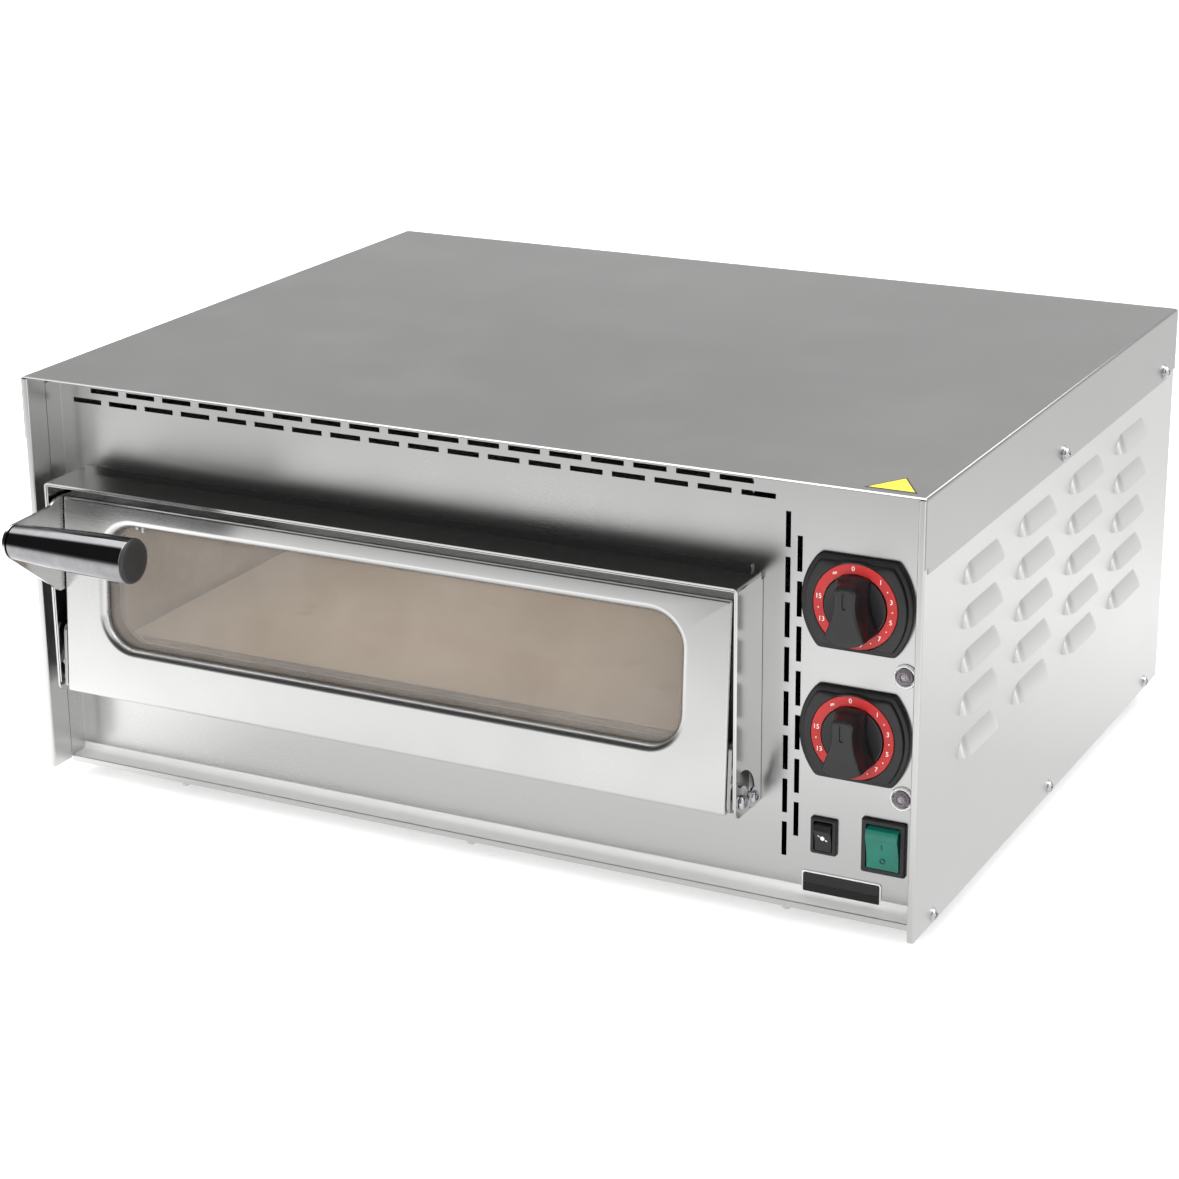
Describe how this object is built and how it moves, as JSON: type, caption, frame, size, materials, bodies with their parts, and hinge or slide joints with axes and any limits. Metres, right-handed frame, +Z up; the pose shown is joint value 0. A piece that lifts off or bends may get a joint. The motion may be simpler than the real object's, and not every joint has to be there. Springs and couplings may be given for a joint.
{
  "type": "countertop pizza oven",
  "caption": "Countertop electric pizza oven: folded stainless casing, glazed drop-down door with a side-held bar handle, timer knobs and rocker switches beside it.",
  "frame": {"origin": "on the surface it stands on, below the middle of the whole object's box (handle and cable gland included)", "axes": "+X to the right of one who faces the door, +Y to the back, +Z up"},
  "size_m": [0.5588, 0.505, 0.255],
  "materials": {
    "brushed_stainless": "brushed, fine grain",
    "dark_steel": "heat-darkened steel",
    "chrome": "polished",
    "zinc_plated_steel": "zinc plated",
    "black_plastic": "satin moulded",
    "green_translucent_plastic": "glossy, illuminated when on",
    "red_dial_plastic": "printed dial",
    "clear_lens": "clear moulded lens",
    "oven_glass": "heat-proof glass",
    "cordierite": "fired ceramic baking stone",
    "mineral_wool": "mineral wool blanket",
    "ceramic": "glazed ceramic",
    "black_rubber": "matte",
    "silicone": "matte"
  },
  "bodies": {
    "casing": {"top_cover": "brushed_stainless", "side_panel_left": "brushed_stainless", "side_panel_right": "brushed_stainless", "front_panel": "brushed_stainless", "rear_panel": "brushed_stainless", "base_tray": "brushed_stainless", "door_shroud": "brushed_stainless", "baking_chamber": "dark_steel", "front_sill": "dark_steel", "baking_stone": "cordierite", "stone_support_frame": "dark_steel", "upper_heating_element": "dark_steel", "lower_heating_element": "dark_steel", "insulation_blanket": "mineral_wool", "insulation_floor": "mineral_wool", "insulation_rear": "mineral_wool", "partition_plate": "zinc_plated_steel", "lamp_glass": "oven_glass", "lamp_bulb": "oven_glass", "lamp_holder": "ceramic", "foot_front_left": "black_rubber", "foot_front_right": "black_rubber", "foot_rear_left": "black_rubber", "foot_rear_right": "black_rubber", "timer_movement_upper": "zinc_plated_steel", "timer_movement_lower": "zinc_plated_steel", "terminal_block": "black_plastic", "limit_thermostat": "black_plastic", "cable_gland": "black_plastic", "timer_bezel_upper": "black_plastic", "timer_bezel_lower": "black_plastic", "dial_ring_upper": "red_dial_plastic", "dial_ring_lower": "red_dial_plastic", "pilot_lamp_rim_upper": "chrome", "pilot_lamp_rim_lower": "chrome", "pilot_lamp_lens_upper": "clear_lens", "pilot_lamp_lens_lower": "clear_lens", "main_switch_housing": "black_plastic", "light_switch_housing": "black_plastic", "blank_name_plate": "black_plastic", "pivot_screw_left": "zinc_plated_steel", "pivot_screw_right": "zinc_plated_steel"},
    "door": {"door_outer_skin": "brushed_stainless", "door_inner_skin": "brushed_stainless", "door_glass": "oven_glass", "glass_seal": "silicone", "hinge_plate_left": "brushed_stainless", "hinge_plate_right": "brushed_stainless", "guide_screw_left": "zinc_plated_steel", "guide_screw_right": "zinc_plated_steel", "handle_bracket": "brushed_stainless", "handle_barrel": "chrome", "handle_end_cap": "black_plastic", "handle_screw": "zinc_plated_steel"},
    "upper_timer_knob": {"timer_knob_upper": "black_plastic", "timer_shaft_upper": "zinc_plated_steel"},
    "lower_timer_knob": {"timer_knob_lower": "black_plastic", "timer_shaft_lower": "zinc_plated_steel"},
    "main_rocker": {"main_switch_rocker": "green_translucent_plastic"},
    "light_rocker": {"light_switch_rocker": "black_plastic"}
  },
  "joints": [
    {"name": "door_hinge", "type": "hinge", "parent": "casing", "child": "door", "pos_m": [-0.044, -0.19537, 0.0729], "axis": [1, 0, 0], "range_deg": [0, 94]},
    {"name": "upper_timer_turn", "type": "hinge", "parent": "casing", "child": "upper_timer_knob", "pos_m": [0.22885, -0.16977, 0.1836], "axis": [0, 1, 0], "range_deg": [-30, 290]},
    {"name": "lower_timer_turn", "type": "hinge", "parent": "casing", "child": "lower_timer_knob", "pos_m": [0.22885, -0.16977, 0.1112], "axis": [0, 1, 0], "range_deg": [-30, 290]},
    {"name": "main_switch_tip", "type": "hinge", "parent": "casing", "child": "main_rocker", "pos_m": [0.24625, -0.16717, 0.0506], "axis": [-1, 0, 0], "range_deg": [0, 20]},
    {"name": "light_switch_tip", "type": "hinge", "parent": "casing", "child": "light_rocker", "pos_m": [0.21225, -0.16717, 0.0506], "axis": [-1, 0, 0], "range_deg": [0, 20]}
  ]
}
